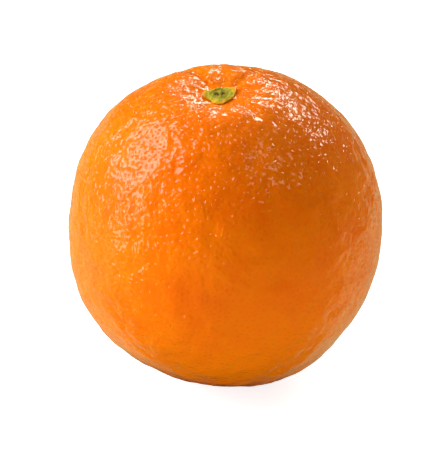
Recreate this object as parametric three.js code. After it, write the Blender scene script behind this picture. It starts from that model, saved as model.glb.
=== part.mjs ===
// A fresh orange standing on the small flat spot at its blossom end, the green button up.
// Millimetres, +Z up along the stem axis, the front toward -Y, origin in the middle of the
// flat spot. Three grown pieces: the fruit, the calyx (green button) and the stalk stub.
import * as THREE from 'three';
import { mergeVertices } from 'three/addons/utils/BufferGeometryUtils.js';

// ---- the fruit -------------------------------------------------------------------------
const EQUATOR_RADIUS = 39.9;   // an eighty-millimetre orange, the medium-large grade
const POLE_RADIUS = 42.0;      // a little taller than wide before the ends are drawn in
const REST_RADIUS = 7.0;       // the flat spot the fruit stands on
const CENTRE_Z = POLE_RADIUS * Math.sqrt(1 - (REST_RADIUS / EQUATOR_RADIUS) ** 2);

// The stem sits a little off the axis, in a soft round basin.
const STEM_X = -1.3;
const BASIN_DEPTH = 3.8;
const BASIN_RADIUS = 8.6;
const BASIN_POWER = 2.3;       // above 2 gives a flatter floor and a rounder shoulder

// Folds of the shoulder, running out from the stem: azimuth, depth, reach.
const FURROWS = [
  [163, 0.6, 13],
  [119, 0.9, 21],
  [82, 0.5, 12],
  [48, 0.8, 16],
  [-46, 0.6, 15],
  [-122, 0.5, 13],
];
const FURROW_START = [3, 7];   // a fold fades in between these distances from the stem
const FURROW_WIDTH = 0.7;
const FURROW_SPREAD = 0.07;    // a fold widens as it runs outward

// Soft swellings and hollows of a grown fruit: azimuth, polar angle, height, angular width.
const SWELLINGS = [
  [-46, 141, 1.0, 13],
  [-162, 116, 1.0, 15],
  [20, 54, 0.5, 15],
  [152, 58, 0.8, 17],
  [178, 88, -0.3, 10],
  [9, 78, 0.5, 14],
  [-12, 108, 0.5, 12],
  [-116, 144, -0.3, 14],
  [84, 33, -0.5, 9],
  [122, 38, -0.45, 8],
];

// The fruit's mesh: rings close together at the stem end, evenly spaced over the rest.
const FRUIT_SEGMENTS = 60;
const STEM_RINGS = 12;
const STEM_CAP_ANGLE = 24;
const BODY_RINGS = 29;

// ---- the calyx and the stalk stub ------------------------------------------------------
const GAP = 0.3;               // clearance between neighbouring pieces
const SEPALS = 5;
const SEPAL_FIRST = -93;       // azimuth of the front sepal
const CALYX_RADIUS = 3.8;      // mean reach of the button
const SEPAL_REACH = 0.4;       // how far a sepal's tip stands out beyond that
const NOTCH_REACH = 0.5;       // how far the notch between two sepals cuts in
const CALYX_EDGE = 0.55;       // thickness at the rim
const CALYX_CREST = 1.35;      // height of the raised ring round the stalk
const CREST_RADIUS = 2.65;
const HOLLOW_RADIUS = 2.0;
const HOLLOW_FLOOR = 0.45;
const CALYX_SEGMENTS = 50;

const STUB_RADIUS = HOLLOW_RADIUS - GAP;
const STUB_TOP = 1.25;         // height above the seat that the calyx stands on
const STUB_RIDGE = 0.3;        // a broken ridge between two hollows
const STUB_SEGMENTS = 30;

const { degToRad, smoothstep } = THREE.MathUtils;

// The unit vector at an azimuth and a polar angle, both in degrees.
function direction(azimuth, polar) {
  const turn = degToRad(azimuth);
  const tilt = degToRad(polar);
  return new THREE.Vector3(
    Math.sin(tilt) * Math.cos(turn), Math.sin(tilt) * Math.sin(turn), Math.cos(tilt));
}

const swellings = SWELLINGS.map(([azimuth, polar, height, width]) => (
  { middle: direction(azimuth, polar), height, width: degToRad(width) }));

// How far the surface is drawn down at the stem end, over a point of the plan.
function stemDrop(x, y) {
  const reach = Math.hypot(x - STEM_X, y);
  const around = Math.atan2(y, x - STEM_X);
  let drop = BASIN_DEPTH * Math.exp(-((reach / BASIN_RADIUS) ** BASIN_POWER));
  for (const [azimuth, depth, end] of FURROWS) {
    const turn = around - degToRad(azimuth);
    if (Math.cos(turn) > 0) {
      const aside = reach * Math.sin(turn) / (FURROW_WIDTH + FURROW_SPREAD * reach);
      const fadeOut = 1 - smoothstep(reach, 0.55 * end, 1.25 * end);
      drop += depth * Math.exp(-aside * aside) * smoothstep(reach, ...FURROW_START) * fadeOut;
    }
  }
  return drop;
}

// The fruit's surface as seen from its middle, in the direction of `towards`.
function fruitSurface(towards) {
  const across = Math.hypot(towards.x, towards.y) / EQUATOR_RADIUS;
  let radius = 1 / Math.hypot(across, towards.z / POLE_RADIUS);
  for (const { middle, height, width } of swellings) {
    radius += height * Math.exp(-((towards.angleTo(middle) / width) ** 2) / 2);
  }
  const point = towards.clone().multiplyScalar(radius);
  if (towards.z > 0) point.z -= stemDrop(point.x, point.y);
  point.z = Math.max(point.z + CENTRE_Z, 0);
  return point;
}

// A point over the stem's seat: `reach` from the stem, `height` above the fruit's skin.
function overSeat(azimuth, reach, height) {
  const x = STEM_X + reach * Math.cos(azimuth);
  const y = reach * Math.sin(azimuth);
  const dome = POLE_RADIUS * Math.sqrt(1 - (x * x + y * y) / EQUATOR_RADIUS ** 2);
  return new THREE.Vector3(x, y, CENTRE_Z + dome - stemDrop(x, y) + GAP + height);
}

// A profile of [radius, height] turned about +Z, every point of it then moved by `place`.
function grownSolid(profile, segments, place) {
  const turned = new THREE.LatheGeometry(
    profile.map(([radius, height]) => new THREE.Vector2(radius, height)), segments);
  turned.deleteAttribute('normal');
  turned.deleteAttribute('uv');
  turned.rotateX(Math.PI / 2);
  const geometry = mergeVertices(turned, 1e-4);
  const corners = geometry.getAttribute('position');
  const corner = new THREE.Vector3();
  for (let i = 0; i < corners.count; i += 1) {
    const { x, y, z } = place(corner.fromBufferAttribute(corners, i));
    corners.setXYZ(i, x, y, z);
  }
  geometry.computeVertexNormals();
  return geometry;
}

function fruitGeometry() {
  const restTilt = Math.PI - Math.atan2(REST_RADIUS, CENTRE_Z);
  const capTilt = degToRad(STEM_CAP_ANGLE);
  const tilts = [];
  for (let i = 0; i < BODY_RINGS; i += 1) {
    tilts.push(THREE.MathUtils.lerp(restTilt, capTilt, i / BODY_RINGS));
  }
  for (let i = STEM_RINGS; i >= 0; i -= 1) tilts.push(capTilt * i / STEM_RINGS);
  const sphere = tilts.map((tilt) => [Math.sin(tilt), Math.cos(tilt)]);
  const flatSpot = [0, Math.cos(restTilt)];
  return grownSolid([flatSpot, ...sphere], FRUIT_SEGMENTS, (corner) => {
    const onFlatSpot = corner.z < Math.cos(restTilt) + 1e-4;
    if (!onFlatSpot) return fruitSurface(corner.normalize());
    return corner.setZ(0).multiplyScalar(REST_RADIUS / Math.sin(restTilt));
  });
}

// Five broad sepals with blunt tips and narrow notches between them.
function sepalReach(azimuth) {
  const wave = Math.cos(SEPALS * (azimuth - degToRad(SEPAL_FIRST)));
  return CALYX_RADIUS + (wave > 0 ? SEPAL_REACH : NOTCH_REACH) * wave;
}

function calyxGeometry() {
  const profile = [
    [0, 0],
    [0.45 * CREST_RADIUS, 0],
    [0.9 * CREST_RADIUS, 0],
    [0.97 * CALYX_RADIUS, 0],
    [CALYX_RADIUS, CALYX_EDGE / 2],
    [0.97 * CALYX_RADIUS, CALYX_EDGE],
    [1.03 * CREST_RADIUS, 0.9 * CALYX_CREST],
    [0.93 * CREST_RADIUS, CALYX_CREST],
    [1.05 * HOLLOW_RADIUS, 0.92 * CALYX_CREST],
    [HOLLOW_RADIUS, HOLLOW_FLOOR],
    [0.5 * HOLLOW_RADIUS, HOLLOW_FLOOR],
    [0, HOLLOW_FLOOR],
  ];
  return grownSolid(profile, CALYX_SEGMENTS, (corner) => {
    const azimuth = Math.atan2(corner.y, corner.x);
    const reach = Math.hypot(corner.x, corner.y);
    const outward = reach > 1.1 * CREST_RADIUS ? sepalReach(azimuth) / CALYX_RADIUS : 1;
    return overSeat(azimuth, reach * outward, corner.z);
  });
}

// The stalk's broken end: a ridge left standing between two small hollows.
function stubGeometry() {
  const foot = HOLLOW_FLOOR + GAP;
  const profile = [[0, foot], [0.5 * STUB_RADIUS, foot], [STUB_RADIUS, foot]];
  for (const share of [1, 0.8, 0.6, 0.4, 0.2, 0]) profile.push([share * STUB_RADIUS, STUB_TOP]);
  return grownSolid(profile, STUB_SEGMENTS, (corner) => {
    const reach = Math.hypot(corner.x, corner.y);
    const besideHollow = Math.abs(Math.abs(corner.x) / STUB_RADIUS - 0.45);
    const sunk = (1 - smoothstep(besideHollow, 0.05, 0.45)) * (1 - reach / STUB_RADIUS / 2);
    const height = corner.z > foot + 1e-4 ? corner.z - STUB_RIDGE * sunk : corner.z;
    return overSeat(Math.atan2(corner.y, corner.x), reach, height);
  });
}

function piece(name, geometry, color, roughness) {
  const material = new THREE.MeshStandardMaterial({ color, roughness, metalness: 0 });
  const mesh = new THREE.Mesh(geometry, material);
  mesh.name = name;
  return mesh;
}

const orange = new THREE.Group();
orange.name = 'orange';
orange.add(
  piece('fruit', fruitGeometry(), '#f07a08', 0.38),
  piece('calyx', calyxGeometry(), '#b3a52f', 0.6),
  piece('stem_stub', stubGeometry(), '#8a6f24', 0.8),
);

export default orange;
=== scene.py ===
# %% [markdown]
# # A fresh orange
#
# This lesson builds one orange as it lies in a fruit bowl: a round, waxy, pitted peel, a
# shallow basin with a few folds at the stem end, and in that basin the green button (the
# calyx) with the broken end of the stalk in its middle. Everything is in metres. The packed
# model is loaded first, because it says how big the fruit is and where it stands.

# %% Load the frame
import math

import bpy
import numpy as np
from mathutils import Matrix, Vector, noise


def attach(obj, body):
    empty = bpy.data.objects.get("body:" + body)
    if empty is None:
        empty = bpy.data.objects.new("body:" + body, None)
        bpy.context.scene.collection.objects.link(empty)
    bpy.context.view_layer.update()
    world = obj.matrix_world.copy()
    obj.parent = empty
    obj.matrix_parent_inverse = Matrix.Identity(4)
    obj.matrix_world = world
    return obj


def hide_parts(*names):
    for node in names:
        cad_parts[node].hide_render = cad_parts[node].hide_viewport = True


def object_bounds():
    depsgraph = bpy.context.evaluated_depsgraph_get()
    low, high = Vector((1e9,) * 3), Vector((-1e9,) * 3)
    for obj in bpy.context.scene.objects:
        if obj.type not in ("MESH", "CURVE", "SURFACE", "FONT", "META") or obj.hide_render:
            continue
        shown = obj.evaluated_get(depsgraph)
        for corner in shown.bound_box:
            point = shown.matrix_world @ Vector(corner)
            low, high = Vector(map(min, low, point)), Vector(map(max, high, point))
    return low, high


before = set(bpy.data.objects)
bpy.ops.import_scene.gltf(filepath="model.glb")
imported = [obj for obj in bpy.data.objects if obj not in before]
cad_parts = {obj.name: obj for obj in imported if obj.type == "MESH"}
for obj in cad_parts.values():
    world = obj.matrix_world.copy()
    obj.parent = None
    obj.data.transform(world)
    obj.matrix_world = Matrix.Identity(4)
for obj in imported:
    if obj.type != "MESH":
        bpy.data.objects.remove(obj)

cad_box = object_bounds()
MM = 0.001
print("the orange's box in mm:", [round(v / MM, 1) for corner in cad_box for v in corner])

# %% [markdown]
# ## The shape of the fruit
#
# An orange is close to a ball, but never exactly one. Here it is an ellipsoid, a little
# taller than wide, with a few soft swellings and hollows where the segments inside pushed
# more or less. At the blossom end it has a small flat spot to stand on. At the stem end the
# skin is drawn down into a basin, and folds of the shoulder run out from the stem. It could
# be sculpted by hand, but one formula for the skin keeps all pieces in touch with it: the
# peel is moulded by it, and the button is laid on it.

# %% Sizes of the fruit in millimetres
EQUATOR, POLE, REST = 39.9, 42.0, 7.0
CENTRE_Z = POLE * math.sqrt(1 - (REST / EQUATOR) ** 2)
STEM_X = -1.3
BASIN_DEPTH, BASIN_RADIUS, BASIN_POWER = 3.8, 8.6, 2.3

# azimuth, depth and reach of each fold at the stem end
FOLDS = [
    (163, 0.6, 13), (119, 0.9, 21), (82, 0.5, 12),
    (48, 0.8, 16), (-46, 0.6, 15), (-122, 0.5, 13),
]
FOLD_WIDTH, FOLD_SPREAD = 0.6, 0.06     # width at the stem, and how it grows with distance
FOLD_START = (3, 7)                     # a fold fades in between these distances
FOLD_END = (0.55, 1.25)                 # and out between these shares of its reach

# azimuth, polar angle, height and angular width of each swelling
SWELLINGS = [
    (-46, 141, 1.0, 13), (-162, 116, 1.0, 15), (20, 54, 0.5, 15), (152, 58, 0.8, 17),
    (178, 88, -0.3, 10), (9, 78, 0.5, 14), (-12, 108, 0.5, 12), (-116, 144, -0.3, 14),
    (84, 33, -0.5, 9), (122, 38, -0.45, 8),
]
print("height of the fruit's middle: %.1f mm" % CENTRE_Z)


# %% The formula for the skin
def fade(start, end, value):
    """0 before start, 1 after end, and a smooth rise between them."""
    t = np.clip((value - start) / (end - start), 0, 1)
    return t * t * (3 - 2 * t)


def from_stem(x, y):
    """Distance from the stem and azimuth round it, over a point of the plan."""
    return np.hypot(x - STEM_X, y), np.arctan2(y, x - STEM_X)


def stem_drop(x, y):
    """How far the skin is drawn down at the stem end, over a point of the plan."""
    reach, around = from_stem(x, y)
    drop = BASIN_DEPTH * np.exp(-((reach / BASIN_RADIUS) ** BASIN_POWER))
    for azimuth, depth, end in FOLDS:
        turn = around - math.radians(azimuth)
        aside = reach * np.sin(turn) / (FOLD_WIDTH + FOLD_SPREAD * reach)
        faded = 1 - fade(FOLD_END[0] * end, FOLD_END[1] * end, reach)
        along = fade(*FOLD_START, reach) * faded
        drop = drop + depth * np.exp(-aside ** 2) * along * (np.cos(turn) > 0)
    return drop


def skin(towards):
    """Points of the smooth skin, in millimetres, seen from the middle along unit vectors."""
    x, y, z = towards.T
    radius = 1 / np.hypot(np.hypot(x, y) / EQUATOR, z / POLE)
    for azimuth, polar, height, width in SWELLINGS:
        turn, tilt = math.radians(azimuth), math.radians(polar)
        middle = np.array((
            math.sin(tilt) * math.cos(turn), math.sin(tilt) * math.sin(turn), math.cos(tilt)))
        away = np.degrees(np.arccos(np.clip(towards @ middle, -1, 1))) / width
        radius = radius + height * np.exp(-away ** 2 / 2)
    points = towards * radius[:, None]
    points[:, 2] -= np.where(z > 0, stem_drop(points[:, 0], points[:, 1]), 0)
    points[:, 2] = np.maximum(points[:, 2] + CENTRE_Z, 0)
    return points


def seat(x, y):
    """Height of the skin over a point of the plan near the stem."""
    dome = POLE * np.sqrt(1 - (x * x + y * y) / EQUATOR ** 2)
    return CENTRE_Z + dome - stem_drop(x, y)


print("height of the skin under the stem: %.2f mm" % seat(STEM_X, 0))

# %% [markdown]
# ## Working by hand, in code
#
# Every piece starts from a primitive and is shaped in edit mode, as it would be with the
# mouse. A few small helpers keep that readable. One leaves nothing selected, because an
# operator acts on all that is selected. The others read and write a mesh's numbers all at
# once, as arrays, which is much faster than one by one.

# %% Helpers for meshes
def nothing_selected():
    """Leaves edit mode and selects nothing, so that the next operator acts on its own piece."""
    if bpy.context.object and bpy.context.object.mode != "OBJECT":
        bpy.ops.object.mode_set(mode="OBJECT")
    bpy.ops.object.select_all(action="DESELECT")


def points_of(piece):
    """The places of all the points of a piece, one row each."""
    flat = np.empty(len(piece.data.vertices) * 3)
    piece.data.vertices.foreach_get("co", flat)
    return flat.reshape(-1, 3)


def move_points(piece, points):
    """Puts all the points of a piece at new places."""
    piece.data.vertices.foreach_set("co", np.asarray(points, float).ravel())
    piece.data.update()


def numbers_of(rows, name, kind=np.int32):
    """One number from each row of a mesh's table, such as its faces, as an array."""
    numbers = np.empty(len(rows), kind)
    rows.foreach_get(name, numbers)
    return numbers


def mark_points(piece, name, numbers):
    """Gives each point a number that a material can read by its name."""
    attribute = piece.data.attributes.new(name, "FLOAT", "POINT")
    attribute.data.foreach_set("value", numbers)


def triangles_of(piece):
    """How many triangles a piece has."""
    piece.data.calc_loop_triangles()
    return len(piece.data.loop_triangles)


# %% [markdown]
# ## The peel: one cell for each oil gland
#
# The peel's texture comes from oil glands, which lie about one and a half millimetres apart
# and each pull the skin in to a shallow pit. A bump map alone would leave the outline too
# smooth, and a displaced grid would put the pits in rows, so each gland gets a cell of real
# mesh. A ball of triangles has its points evenly spread. They drift along a slow noise, so
# that glands are closer together in some places, and are shaken a little. Three rounds of
# turning edges and smoothing keep the triangles well shaped after that.

# %% Add a ball and shake its points
BALL_SUBDIVISIONS = 6               # gives about ten thousand points
GLAND_PITCH = 1.5 / EQUATOR         # on a ball of radius 1
DRIFT, DRIFT_LENGTH = 1.5, 7        # in pitches, and its waves in millimetres
SHAKE = 0.65                        # in pitches

nothing_selected()
bpy.ops.mesh.primitive_ico_sphere_add(
    subdivisions=BALL_SUBDIVISIONS, radius=1, location=(0, 0, 0))
peel = bpy.context.object
peel.name = "peel"
peel.data.name = "peel"

points = points_of(peel)
noise.seed_set(5)       # without a seed, noise_vector differs from run to run
drift = np.array([noise.noise_vector(Vector(p) * EQUATOR / DRIFT_LENGTH) for p in points])
points += DRIFT * GLAND_PITCH * drift
move_points(peel, points / np.linalg.norm(points, axis=1)[:, None])

bpy.ops.object.mode_set(mode="EDIT")
bpy.ops.mesh.select_all(action="SELECT")
bpy.ops.transform.vertex_random(offset=SHAKE * GLAND_PITCH, uniform=0.6, normal=0, seed=5)
for round_of_tidying in range(3):
    bpy.ops.transform.tosphere(value=1)
    bpy.ops.mesh.beautify_fill()
    bpy.ops.mesh.vertices_smooth(factor=0.45, repeat=1)
bpy.ops.transform.tosphere(value=1)
bpy.ops.mesh.beautify_fill()
bpy.ops.object.mode_set(mode="OBJECT")
print("points, one for each gland:", len(peel.data.vertices))

# %% [markdown]
# The dual of a mesh has a face for each point, and a point for each face. Here it turns the
# shaken triangles into many-sided cells: one face, one gland. Geometry Nodes has a node for
# it, and the modifier is applied, so the cells can be worked on in edit mode afterwards.

# %% Turn the points into gland cells
cells = bpy.data.node_groups.new("a face for each point", "GeometryNodeTree")
cells.interface.new_socket("Mesh", in_out="INPUT", socket_type="NodeSocketGeometry")
cells.interface.new_socket("Mesh", in_out="OUTPUT", socket_type="NodeSocketGeometry")
start = cells.nodes.new("NodeGroupInput")
dual = cells.nodes.new("GeometryNodeDualMesh")
result = cells.nodes.new("NodeGroupOutput")
cells.links.new(start.outputs[0], dual.inputs[0])
cells.links.new(dual.outputs[0], result.inputs[0])
step = peel.modifiers.new("cells", "NODES")
step.node_group = cells
bpy.ops.object.modifier_apply(modifier=step.name)
print("gland cells:", len(peel.data.polygons))

# %% [markdown]
# ## Moulding the ball to the fruit
#
# Each point keeps its direction from the middle and moves out to the skin there. A peel is
# never quite even, and this is what breaks its highlights into patches, so two layers of
# smooth noise are added, one with waves about five millimetres long and one of half that.
# They die out on the flat spot, and weaken close to the button, where a real peel is
# smoother. Round the button the skin is gathered as well: waves that are long outwards from
# the stem and short round it make the small creases there.

# %% Find how uneven the skin is
BROAD_WAVE, FINE_WAVE = (0.30, 5.0), (0.17, 2.6)    # height and length in millimetres
PULLED_IN = 0.03
CREASE_HEIGHT = 0.38
SPOKE_STRETCH, SPOKE_ROUND = 0.12, 3


def wave(points, length, seed):
    """Smooth noise between about -1 and 1 at each point, its waves length millimetres long."""
    shift = Vector((seed, 2 * seed, 3 * seed))
    return np.array([noise.noise(Vector(p) / length + shift) for p in points])


towards = points_of(peel)
towards /= np.linalg.norm(towards, axis=1)[:, None]
skin_points = skin(towards)
upper, lower = towards[:, 2] > 0, towards[:, 2] < 0
reach, around = from_stem(skin_points[:, 0], skin_points[:, 1])
near_stem = (1 - fade(4, 9, reach)) * upper
from_axis = np.hypot(skin_points[:, 0], skin_points[:, 1])
on_rest = (1 - fade(REST - 1, REST + 4, from_axis)) * lower

unevenness = (BROAD_WAVE[0] * wave(skin_points, BROAD_WAVE[1], 11)
              + FINE_WAVE[0] * wave(skin_points, FINE_WAVE[1], 23) - PULLED_IN)
unevenness *= (1 - 0.6 * near_stem) * (1 - on_rest)
spokes = np.stack([
    SPOKE_STRETCH * reach, SPOKE_ROUND * np.cos(around), SPOKE_ROUND * np.sin(around)], axis=1)
gathered = fade(3.5, 6, reach) * (1 - fade(8, 17, reach)) * upper
unevenness += CREASE_HEIGHT * gathered * wave(spokes, 0.8, 53)
print("unevenness: %.2f to %.2f mm" % (unevenness.min(), unevenness.max()))

# %% [markdown]
# In the middle of the flat spot is the scar that the flower's style left when it fell off, a
# small brown dent.

# %% Mould the cells
SCAR_RADIUS, SCAR_DEPTH = 2.2, 0.5

skin_points += towards * unevenness[:, None]
skin_points[:, 2] = np.maximum(skin_points[:, 2], 0)
from_axis = np.hypot(skin_points[:, 0], skin_points[:, 1])
skin_points[:, 2] += SCAR_DEPTH * (np.exp(-(from_axis / SCAR_RADIUS) ** 4) * lower)
move_points(peel, skin_points * MM)
print("height of the moulded skin: %.1f mm" % skin_points[:, 2].max())

# %% [markdown]
# ## Pressing in the pits
#
# Each cell's face is inset, which leaves a rim between the glands, and its middle is pulled
# in. No two glands are alike, so the faces are taken in four random lots, each with a pit of
# its own width and depth. Low on the fruit the skin was stretched smoother, so more and more
# cells there get a fainter pit. The smallest cells stay smooth, because a pit would fold them.

# %% Choose a pit for each cell
# share of the cell left as rim, depth of the pit's lip and of its middle in millimetres
PITS = [(0.52, 0.05, 0.13), (0.60, 0.06, 0.15), (0.42, 0.04, 0.12), (0.68, 0.05, 0.13)]
FAINT_PIT = (0.58, 0.02, 0.05)
ALL_FAINT, ALL_FULL = 16, 40    # below the first height all pits are faint, above the other none
SMALLEST_PITTED = 0.45          # as a share of the mean cell's area

areas = numbers_of(peel.data.polygons, "area", float)
centres = np.empty(len(areas) * 3)
peel.data.polygons.foreach_get("center", centres)
heights = centres[2::3] / MM

lots = np.random.default_rng(17).integers(len(PITS), size=len(areas)) + 1
chance = np.random.default_rng(29).random(len(areas))
lots[chance > fade(ALL_FAINT, ALL_FULL, heights)] = len(PITS) + 1
lots[areas < SMALLEST_PITTED * areas.mean()] = 0
lot_of_face = peel.data.attributes.new("lot", "INT", "FACE")
lot_of_face.data.foreach_set("value", lots.astype(np.int32))
print("cells in each lot:", np.bincount(lots).tolist())

# %% [markdown]
# The faces of one lot at a time are selected by their number. Inset makes the rim and Poke
# makes a fan of triangles whose middle point is the bottom of the pit. The new faces inherit
# their cell's number, so it is cleared before the next lot.

# %% Inset and sink the pits
INSET_FOR_RIM = 0.9     # relative inset for a rim as wide as the whole cell

for lot, (rim, lip, sink) in enumerate([*PITS, FAINT_PIT], start=1):
    nothing_selected()
    peel.select_set(True)
    bpy.context.view_layer.objects.active = peel
    numbers = numbers_of(peel.data.attributes["lot"].data, "value")
    bpy.ops.object.mode_set(mode="EDIT")
    bpy.ops.mesh.select_mode(type="FACE")
    bpy.ops.mesh.select_all(action="DESELECT")
    bpy.ops.object.mode_set(mode="OBJECT")
    peel.data.polygons.foreach_set("select", numbers == lot)
    bpy.ops.object.mode_set(mode="EDIT")
    bpy.ops.mesh.inset(
        thickness=INSET_FOR_RIM * rim, depth=-lip * MM, use_individual=True,
        use_even_offset=False, use_relative_offset=True)
    bpy.ops.mesh.poke(offset=-(sink - lip) * MM, center_mode="MEDIAN_WEIGHTED")
    bpy.ops.object.mode_set(mode="OBJECT")
    numbers = numbers_of(peel.data.attributes["lot"].data, "value")
    numbers[numbers == lot] = 0
    peel.data.attributes["lot"].data.foreach_set("value", numbers)
peel.data.attributes.remove(peel.data.attributes["lot"])

points = points_of(peel)
points[:, 2] = np.maximum(points[:, 2], 0)      # nothing goes below the table
move_points(peel, points)
print("peel:", triangles_of(peel), "triangles")

# %% [markdown]
# The middle points of the pits are the ones whose faces are all triangles. They get a number
# of their own, an attribute of the mesh, so that the material can deepen the colour inside
# the pits, where the oil shows through, and round their walls for the light.

# %% Mark the pits for the material
loops = numbers_of(peel.data.loops, "vertex_index")
corners = numbers_of(peel.data.polygons, "loop_total")
first = numbers_of(peel.data.polygons, "loop_start")
in_triangle = np.zeros(len(peel.data.vertices))
in_quad = np.zeros(len(peel.data.vertices))
for size, count in ((3, in_triangle), (4, in_quad)):
    for corner in range(size):
        np.add.at(count, loops[first[corners == size] + corner], 1)
pit = ((in_triangle > 0) & (in_quad == 0)).astype(float)
mark_points(peel, "pit", pit)
bpy.ops.object.shade_smooth()
print("pits:", int(pit.sum()))

# %% [markdown]
# ## The button
#
# The calyx is what is left of the flower: five sepals grown together into a small green disc,
# with a raised ring where the stalk went in. It could be spun from a profile, but here it is
# built up from a filled circle, whose face is extruded again and again, each time to the next
# ring's radius and height. That gives a closed piece with neat rings from the start.

# %% Helpers that build a round piece ring by ring
def raised_rings(name, segments, rings):
    """A closed round piece about Z: rings are (radius, height) in millimetres, foot first."""
    nothing_selected()
    radius, height = rings[0]
    bpy.ops.mesh.primitive_circle_add(
        vertices=segments, radius=radius * MM, fill_type="NGON", location=(0, 0, height * MM))
    piece = bpy.context.object
    piece.name = piece.data.name = name
    bpy.ops.object.mode_set(mode="EDIT")
    bpy.ops.mesh.select_mode(type="FACE")
    bpy.ops.mesh.select_all(action="SELECT")
    for wider, higher in rings[1:]:
        bpy.ops.mesh.extrude_region_move(
            TRANSFORM_OT_translate={"value": (0, 0, (higher - height) * MM)})
        bpy.ops.transform.resize(value=(wider / radius, wider / radius, 1))
        radius, height = wider, higher
    bpy.ops.mesh.poke()
    bpy.ops.mesh.select_all(action="SELECT")
    bpy.ops.mesh.normals_make_consistent(inside=False)
    bpy.ops.object.mode_set(mode="OBJECT")
    bpy.ops.object.transform_apply(location=True, rotation=True, scale=True)
    return piece


def smoothed(piece, levels):
    """Subdivides the active piece smooth, and keeps the result."""
    subdivision = piece.modifiers.new("smooth", "SUBSURF")
    subdivision.levels = subdivision.render_levels = levels
    bpy.ops.object.modifier_apply(modifier=subdivision.name)
    bpy.ops.object.shade_smooth()


def laid_on_skin(piece, sink):
    """Moves a piece made round the Z axis to the stem, and drapes it over the skin."""
    points = points_of(piece) / MM
    points[:, 0] += STEM_X
    points[:, 2] += seat(points[:, 0], points[:, 1]) - sink
    move_points(piece, points * MM)


# %% Build the button's disc and ring
button = raised_rings("button", 40, [
    (3.70, 0.0), (3.90, 0.25), (3.75, 0.50), (3.30, 0.66), (2.95, 0.88), (2.65, 1.02),
    (2.38, 1.00), (2.15, 0.88), (1.95, 0.80), (1.00, 0.50),
])
print("button, before its sepals:", len(button.data.vertices), "points")

# %% [markdown]
# Outside the ring the points are drawn out into five blunt tips. Real sepals are never alike:
# two of these curl up at the sides, and the one at the back stays short. The power in the
# petal's formula makes its tip broad and the notches between sepals narrow.

# %% Draw out the sepals
# azimuth, reach and lift of each sepal's tip, in degrees and millimetres
SEPALS = [
    (-93, 4.4, 0.0), (-28, 3.7, 0.1), (33, 4.5, 0.5), (108, 3.3, 0.0), (174, 4.4, 0.45)]
NOTCH = 3.2             # how far the button reaches between two sepals
MEAN_REACH = 3.8
HALF_SEPAL = 36         # degrees

points = points_of(button) / MM
reach = np.hypot(points[:, 0], points[:, 1])
around = np.degrees(np.arctan2(points[:, 1], points[:, 0]))
outer = fade(2.8, 3.7, reach)
tip_reach = np.full(len(points), NOTCH)
lift = np.zeros(len(points))
for azimuth, far, rise in SEPALS:
    turn = np.abs((around - azimuth + 180) % 360 - 180) / HALF_SEPAL
    petal = np.clip(1 - turn ** 2.8, 0, 1)
    tip_reach += (far - NOTCH) * petal
    lift += rise * petal ** 2
stretch = 1 + outer * (tip_reach / MEAN_REACH - 1)
points[:, :2] *= stretch[:, None]
points[:, 2] += outer * lift
move_points(button, points * MM)
smoothed(button, 2)
print("longest reach of a sepal: %.1f mm" % np.hypot(points[:, 0], points[:, 1]).max())

# %% [markdown]
# The button dries before the fruit does, so its upper side is ragged. Noise of two sizes
# moves its points up and down, and the underside, which lies on the skin, is left alone.

# %% Roughen the button and lay it on the skin
RAGGED = [(0.34, 1.5, 31), (0.16, 0.5, 37)]     # height, wavelength and seed
BUTTON_SINK = 0.08

points = points_of(button) / MM
ragged = sum(height * wave(points, length, seed) for height, length, seed in RAGGED)
points[:, 2] += ragged * fade(0.05, 0.4, points[:, 2])
move_points(button, points * MM)
laid_on_skin(button, BUTTON_SINK)
print("button:", triangles_of(button), "triangles")

# %% [markdown]
# ## The end of the stalk
#
# The fruit was snapped off its stalk, so in the button's ring stands a rough woody stump, a
# ridge left between two dark hollows. It is built like the button. Then its top is pushed
# down in two places, whose outlines stray with a noise, and is roughened with finer noise.

# %% Build the stalk's end
stalk = raised_rings("stalk_end", 32, [
    (1.95, 0.30), (2.05, 0.62), (1.95, 0.86), (1.65, 0.98), (1.20, 1.02), (0.80, 1.04),
    (0.40, 1.04),
])
smoothed(stalk, 2)
print("stalk end:", triangles_of(stalk), "triangles")

# %% Push in the hollows and roughen the wood
# place, width along x and y and depth of each hollow, in millimetres
HOLLOWS = [(-0.75, -0.15, 0.55, 0.95, 0.80), (1.0, -0.1, 0.55, 1.05, 0.95)]

points = points_of(stalk) / MM
upper = fade(0.7, 1.0, points[:, 2])
hollow = np.zeros(len(points))
stray_x = points[:, 0] + 0.15 * wave(points, 0.9, 59)
stray_y = points[:, 1] + 0.25 * wave(points, 0.9, 61)
for x, y, wide, deep, sink in HOLLOWS:
    dent = np.exp(-((stray_x - x) / wide) ** 2 - ((stray_y - y) / deep) ** 2)
    hollow += dent * upper
    points[:, 2] -= sink * dent * upper
points[:, :2] *= (1 + 0.22 * wave(points, 1.2, 47))[:, None]
points[:, 2] += upper * (0.16 * wave(points, 0.6, 41) + 0.08 * wave(points, 0.25, 43))
move_points(stalk, points * MM)
mark_points(stalk, "hollow", np.clip(hollow, 0, 1))
laid_on_skin(stalk, 0.0)
print("deepest hollow: %.2f mm" % (HOLLOWS[1][4] * hollow.max()))

# %% [markdown]
# ## Each piece rides on the fruit
#
# An orange has no moving parts, so all three pieces ride on the one body. Each stands for its
# CAD solid, which stays behind for collision.

# %% Tie the pieces to the frame
for piece, node, finish in (
    (peel, "fruit", "peel"), (button, "calyx", "green_button"), (stalk, "stem_stub", "stalk_end"),
):
    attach(piece, "root")
    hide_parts(node)
    print(piece.name, "stands for", node)


# %% [markdown]
# ## Materials
#
# All colours are made by nodes from the piece's own coordinates, so nothing slides when the
# view changes. Painted images could do it too, but nodes stay sharp at any distance and are
# easy to change. A few helpers add a node and set its sockets by name.

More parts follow.
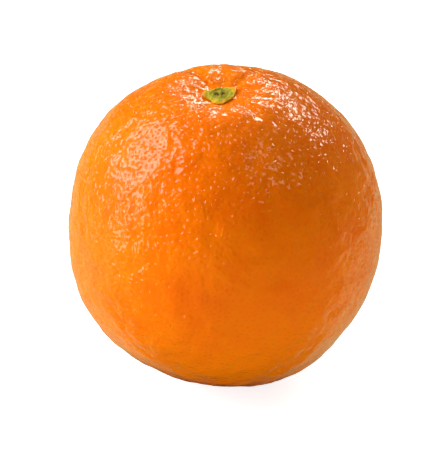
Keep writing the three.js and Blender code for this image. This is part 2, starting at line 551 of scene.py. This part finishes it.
# %% Helpers for materials
def material_for(piece, name):
    """A new material on the piece, with its node tree and its shader."""
    material = bpy.data.materials.new(name)
    material.use_nodes = True
    piece.data.materials.clear()
    piece.data.materials.append(material)
    tree = material.node_tree
    return tree, tree.nodes["Principled BSDF"]


def set_sockets(tree, node, values):
    """Sets a node's sockets: each gets a value, or a wire from another node's output."""
    for socket, value in values.items():
        if isinstance(value, bpy.types.NodeSocket):
            tree.links.new(value, node.inputs[socket])
        else:
            node.inputs[socket].default_value = value


def add(tree, kind, wires=(), **settings):
    """Adds a node. wires gives its inputs, by name or number: a value or another's output."""
    made = tree.nodes.new(kind)
    for key, value in settings.items():
        setattr(made, key, value)
    set_sockets(tree, made, dict(wires))
    return made


def maths(tree, operation, *values):
    """A sum on numbers or outputs, such as MULTIPLY."""
    made = add(tree, "ShaderNodeMath", dict(enumerate(values)), operation=operation)
    return made.outputs[0]


def noise_of(tree, place, size, detail=2.0, roughness=0.5):
    """A noise texture whose features are size millimetres across."""
    return add(tree, "ShaderNodeTexNoise", {
        "Vector": place, "Scale": 1 / (size * MM), "Detail": detail, "Roughness": roughness,
    }).outputs["Fac"]


def blend_of(tree, share, one, other):
    """Mixes two colours."""
    made = add(tree, "ShaderNodeMix", {0: share, 6: one, 7: other}, data_type="RGBA")
    return made.outputs[2]


def reach_of(tree, value, low, high, to_low=0.0, to_high=1.0):
    """Maps a value from one range to another, and holds it at the ends."""
    return add(tree, "ShaderNodeMapRange", {
        "Value": value, "From Min": low, "From Max": high, "To Min": to_low, "To Max": to_high,
    }).outputs["Result"]


def off_axis_of(tree, place, axis_x=0):
    """Distance from an upright axis over the given x, whatever the height."""
    flat = add(tree, "ShaderNodeMapping", {
        "Vector": place, "Location": (-axis_x * MM, 0, 0), "Scale": (1, 1, 0)}).outputs[0]
    length = add(tree, "ShaderNodeVectorMath", {0: flat}, operation="LENGTH")
    return length.outputs["Value"]


def bump_of(tree, height, deep, strength=1.0, over=None):
    """Bends the light's normal as if height stood deep millimetres proud, over another bump."""
    wires = {"Strength": strength, "Distance": deep * MM, "Height": height}
    if over:
        wires["Normal"] = over
    return add(tree, "ShaderNodeBump", wires).outputs["Normal"]


# %% [markdown]
# ### The peel's colour
#
# The peel is a deep orange that wanders a little between yellower and redder patches, and is
# deeper in the pits. Low on the fruit it is painted yellower, a tone that stands in for the light
# the white floor bounces up, and round its foot it is painted redder and darker again, a painted
# shade where the fruit meets the floor. Each change is one blend, laid over the ones before it.
# The scar at the foot is brown, and noise added to its radius makes its edge uneven.

# %% Paint the peel
tree, shader = material_for(peel, "waxy orange peel")
place = add(tree, "ShaderNodeTexCoord").outputs["Object"]
along = add(tree, "ShaderNodeSeparateXYZ", {0: place}).outputs
height = along["Z"]
in_pit = add(tree, "ShaderNodeAttribute", attribute_name="pit").outputs["Fac"]

patches = noise_of(tree, place, 14, detail=3)
colour = blend_of(tree, reach_of(tree, patches, 0.35, 0.65),
                  (0.85, 0.150, 0.0002, 1), (0.90, 0.190, 0.0002, 1))
blush = noise_of(tree, place, 40, detail=1)
colour = blend_of(tree, reach_of(tree, blush, 0.4, 0.65, 0, 0.5),
                  colour, (0.86, 0.155, 0.0002, 1))
# Painted bounce light: the peel turns yellower low on the fruit, for the light that the white
# floor sends up.
colour = blend_of(tree, reach_of(tree, height, 45 * MM, 15 * MM, 0, 0.8),
                  colour, (0.88, 0.205, 0.0002, 1))
# Painted shade: round the foot the peel turns redder and darker, where the fruit meets the floor.
colour = blend_of(tree, reach_of(tree, height, 16 * MM, 4 * MM, 0, 0.9),
                  colour, (0.86, 0.150, 0.0002, 1))
deeper = maths(tree, "MULTIPLY", in_pit, reach_of(tree, height, 25 * MM, 50 * MM, 0, 0.12))
colour = blend_of(tree, deeper, colour, (0.74, 0.095, 0.0002, 1))

SCAR_STRAY = -1.6       # millimetres that the noise takes off the distance from the axis
edge = noise_of(tree, place, 1.2, detail=2)
off_axis = maths(tree, "MULTIPLY_ADD", edge, SCAR_STRAY * MM, off_axis_of(tree, place))
browned = maths(tree, "MULTIPLY", reach_of(tree, off_axis, 0.4 * MM, 2.2 * MM, 1, 0),
                reach_of(tree, height, 3 * MM, 4 * MM, 1, 0))
colour = blend_of(tree, browned, colour, (0.24, 0.10, 0.025, 1))
tree.links.new(colour, shader.inputs["Base Color"])
print("nodes for the peel's colour:", len(tree.nodes))

# %% [markdown]
# ### The peel's relief
#
# The mesh holds the pits, but at this size each has only a few faces. Bump rounds what the
# mesh can't. There are three layers: a fine grain, lumps two millimetres across, which are
# softer on the lower right of the fruit, and a bowl in each pit, deep in some patches and
# shallow in others. The bowls and the full lumps go to the coat's normal only, where wax
# shows them as small crisp glints. The skin under it, which light goes into, gets the grain
# and lumps half as high, and stays soft.

# %% Shape the peel's wax
BOWL_POWER = 1.5        # rounds the bottom of a pit
LEAN = -0.8             # how much a step to the right counts against a step up
LUMPS, BOWLS = 0.60, 0.24       # heights in millimetres

grain = bump_of(tree, noise_of(tree, place, 0.45, detail=2), 0.03, strength=0.35)
bowl = maths(tree, "POWER", reach_of(tree, in_pit, 0, 1, 1, 0), BOWL_POWER)
depth = maths(tree, "MULTIPLY",
              reach_of(tree, noise_of(tree, place, 4, detail=1), 0.35, 0.65, 0.6, 1.3),
              reach_of(tree, height, 12 * MM, 45 * MM, 0.4, 1))
upper_left = maths(tree, "MULTIPLY_ADD", along["X"], LEAN, height)
lumps = maths(tree, "MULTIPLY", noise_of(tree, place, 2.2, detail=1),
              reach_of(tree, upper_left, 10 * MM, 60 * MM, 0.4, 1))

wax = bump_of(tree, lumps, LUMPS, over=grain)
wax = bump_of(tree, maths(tree, "MULTIPLY", bowl, depth), BOWLS, over=wax)
tree.links.new(wax, shader.inputs["Coat Normal"])
tree.links.new(bump_of(tree, lumps, LUMPS / 2, over=grain), shader.inputs["Normal"])
print("nodes for the peel:", len(tree.nodes))

# %% [markdown]
# ### The peel's gloss
#
# Light goes a millimetre or so into the peel and comes out orange, which softens every
# shadow, so it has subsurface scattering. Red light goes deepest. Over that lies a thin coat
# of natural wax, and it is the wax that gives the crisp highlights, so the skin itself
# hardly shines.

# %% Finish the peel
set_sockets(tree, shader, {
    "Roughness": reach_of(tree, noise_of(tree, place, 3), 0.3, 0.7, 0.38, 0.50),
    "Subsurface Weight": 0.6,
    "Subsurface Radius": (1.0, 0.35, 0.08),
    "Subsurface Scale": 1.6 * MM,
    "IOR": 1.45,
    "Specular IOR Level": 0.05,
    "Specular Tint": (1, 0.85, 0.1, 1),
    "Coat Weight": 0.9,
    "Coat Roughness": 0.11,
})
print("roughness of the wax: %.2f" % shader.inputs["Coat Roughness"].default_value)

# %% [markdown]
# ### The button's finish
#
# The button is yellow-green, olive inside the ring, and orange-yellow at the tips of the sepals,
# farthest from the stem. Distance from the stem decides between them, with noise added to keep
# the borders uneven. Small darker specks and a dull surface make it look dry.

# %% Paint the button
tree, shader = material_for(button, "drying green sepals")
place = add(tree, "ShaderNodeTexCoord").outputs["Object"]
mottle = noise_of(tree, place, 0.9, detail=3, roughness=0.6)
stray = maths(tree, "MULTIPLY_ADD", mottle, 1.2 * MM, off_axis_of(tree, place, STEM_X))
colour = blend_of(tree, reach_of(tree, stray, 2.6 * MM, 3.3 * MM),
                  (0.29, 0.22, 0.005, 1), (0.45, 0.42, 0.016, 1))
colour = blend_of(tree, reach_of(tree, stray, 3.4 * MM, 4.4 * MM),
                  colour, (0.74, 0.36, 0.007, 1))
speck = noise_of(tree, place, 0.5, detail=3, roughness=0.6)
colour = blend_of(tree, reach_of(tree, speck, 0.53, 0.62, 0, 0.5),
                  colour, (0.18, 0.12, 0.002, 1))
set_sockets(tree, shader, {
    "Base Color": colour,
    "Roughness": 0.6,
    "Specular IOR Level": 0.18,
    "Normal": bump_of(tree, speck, 0.06, strength=0.5),
})
print("nodes for the button:", len(tree.nodes))

# %% [markdown]
# ### The stalk end's finish
#
# The wood is torn into fibres, tan on the ridge and dark brown down in the two hollows, partly
# the wood's own colour and partly painted shade. The hollows were marked on the mesh when they
# were pushed in, so the colour follows their shape.

# %% Paint the stalk's end
tree, shader = material_for(stalk, "torn stalk wood")
place = add(tree, "ShaderNodeTexCoord").outputs["Object"]
fibres = noise_of(tree, place, 0.3, detail=4, roughness=0.6)
colour = blend_of(tree, reach_of(tree, fibres, 0.35, 0.65),
                  (0.25, 0.18, 0.005, 1), (0.46, 0.39, 0.025, 1))
# Painted shade: the hollows turn dark brown, partly the wood's own colour and partly the shade
# down in them.
hollow_wood_and_shade = add(tree, "ShaderNodeAttribute", attribute_name="hollow").outputs["Fac"]
colour = blend_of(tree, reach_of(tree, hollow_wood_and_shade, 0.1, 0.55), colour, (0.075, 0.035, 0.0008, 1))
set_sockets(tree, shader, {
    "Base Color": colour,
    "Roughness": 0.75,
    "Specular IOR Level": 0.2,
    "Normal": bump_of(tree, fibres, 0.05, strength=0.6),
})
print("nodes for the stalk's end:", len(tree.nodes))

# %% [markdown]
# ## A pale floor
#
# The orange stands on wide white paper. A real studio lights the paper from below or far
# off, so that it stays white and casts almost no shadow on itself. Here the work of one
# floor is shared among three sheets. The camera sees the first. The second, just under it,
# sends light up to the fruit, and less of it from close to the foot, where the fruit's own
# shadow lies. The third is only seen in the wax, as the pale line along the lower rims.

# %% Lay the floor
def sheet(name, size, place, glow=0.0, shade=0.8, tint=(1, 1, 1, 1)):
    """A flat sheet of the stage: white paper or board, or a glowing card."""
    nothing_selected()
    bpy.ops.mesh.primitive_plane_add(size=1, location=(0, 0, 0))
    made = bpy.context.object
    made.name = name
    move_points(made, points_of(made) * (*size, 1) + place)
    tree, shader = material_for(made, name)
    set_sockets(tree, shader, {
        "Base Color": (shade, shade, shade, 1),
        "Roughness": 0.9,
        "Specular IOR Level": 0,
        "Emission Color": tint,
        "Emission Strength": glow,
    })
    return made


def glow_outwards(made, start, end, glow):
    """Lets a sheet glow from the given distance round the fruit's foot, and dark inside it."""
    tree = made.data.materials[0].node_tree
    place = add(tree, "ShaderNodeTexCoord").outputs["Object"]
    from_foot = add(tree, "ShaderNodeVectorMath", {0: place}, operation="LENGTH")
    tree.links.new(reach_of(tree, from_foot.outputs["Value"], start * MM, end * MM, 0, glow),
                   tree.nodes["Principled BSDF"].inputs["Emission Strength"])


WIDE = (6, 6)
paper = sheet("white paper", WIDE, (0, 0, 0), glow=0.8)
paper.visible_diffuse = paper.visible_glossy = False
board = sheet("bounce board", WIDE, (0, 0, -0.2 * MM), shade=0.8)
board.visible_camera = board.visible_glossy = False
glow_outwards(board, 30, 105, 1.3)
card = sheet(
    "card behind", (0.34, 0.34), (0, 0.148, 0.1 * MM), shade=0.0, tint=(1, 0.9, 0.5, 1))
card.visible_camera = card.visible_diffuse = card.visible_shadow = False
glow_outwards(card, 18, 34, 0.6)
print("sheets:", paper.name, board.name, card.name)

# %% [markdown]
# ## A white room
#
# The backdrop is white. The light that it gives is kept lower than it looks, because the
# soft lights do most of the work and a fruit lit evenly from all sides looks flat.

# %% Set the backdrop
BACKDROP_LIGHT, BACKDROP_LOOK = 0.30, 1
world = bpy.data.worlds.new("white room")
bpy.context.scene.world = world
world.use_nodes = True
tree = world.node_tree
seen = add(tree, "ShaderNodeLightPath").outputs["Is Camera Ray"]
set_sockets(tree, tree.nodes["Background"], {
    "Color": (1, 1, 1, 1),
    "Strength": reach_of(tree, seen, 0, 1, BACKDROP_LIGHT, BACKDROP_LOOK),
})
world.cycles_visibility.glossy = False
print("light from the backdrop:", BACKDROP_LIGHT)

# %% [markdown]
# ## Soft lights
#
# A large soft light high on the left gives the bright patch on the shoulder, and two fills
# near it, unseen in the gloss, spread its light round the side. A long narrow one behind the
# fruit draws crisp streaks along the far shoulder. Two small warm gleams are only seen in
# the wax, as scattered glints low on the left and right of the middle.

# %% Helper for a soft light
middle = Vector((0, 0, (cad_box[0].z + cad_box[1].z) / 2))


def soft_light(name, azimuth, elevation, away, size, glow, tall=None):
    """A square or oblong light that faces the fruit. Azimuth 0 is in front, 90 at the right."""
    turn, rise = math.radians(azimuth), math.radians(elevation)
    towards = Vector((
        math.sin(turn) * math.cos(rise), -math.cos(turn) * math.cos(rise), math.sin(rise)))
    bpy.ops.object.light_add(type="AREA", location=middle + towards * away)
    light = bpy.context.object
    light.name = name
    tall = tall or size
    light.data.shape = "RECTANGLE"
    light.data.size = size
    light.data.size_y = tall
    light.data.energy = glow * math.pi * size * tall    # glow is the brightness of its face
    light.rotation_euler = (-towards).to_track_quat("-Z", "Y").to_euler()
    light.visible_camera = False
    return light


# %% Hang the lights
soft_light("large light at the left", -104, 37, 1.0, 0.74, 5.2)
soft_light("wide glow at the left", -93, 32, 1.0, 1.2, 1.4).visible_glossy = False
soft_light("low fill at the left", -80, 0, 1.0, 0.9, 1.9).visible_glossy = False
for side, azimuth, elevation, glow in (("lower left", -78, 4, 6.0), ("right", 68, 56, 3.0)):
    gleam = soft_light("gleam at the " + side, azimuth, elevation, 1.0, 0.34, glow)
    gleam.data.color = (1, 0.86, 0.62)
    gleam.visible_diffuse = False
back = soft_light("light behind the shoulder", 157, 27, 1.2, 1.15, 13.0, 0.16)
back.data.color = (1, 0.95, 0.82)
print("lights:", len(bpy.data.lights))

# %% [markdown]
# ## The camera
#
# The camera looks down at the fruit from the front with a long lens, so the fruit keeps its
# true round shape. It aims a little to one side of the fruit's middle and below it.

# %% Point the camera
ELEVATION = math.radians(33)
AWAY = 1.0
AIM = Vector((-3.0, 0, -2.2)) * MM      # from the middle of the fruit
LENS, SENSOR = 300, 36

forward = Vector((0, math.cos(ELEVATION), -math.sin(ELEVATION)))
bpy.ops.object.camera_add(location=middle + AIM - forward * AWAY)
camera = bpy.context.object
camera.rotation_euler = forward.to_track_quat("-Z", "Y").to_euler()
camera.data.sensor_width = SENSOR
camera.data.lens = LENS
bpy.context.scene.camera = camera
bpy.context.scene.view_settings.view_transform = "Standard"
print("camera at", [round(v, 3) for v in camera.location])
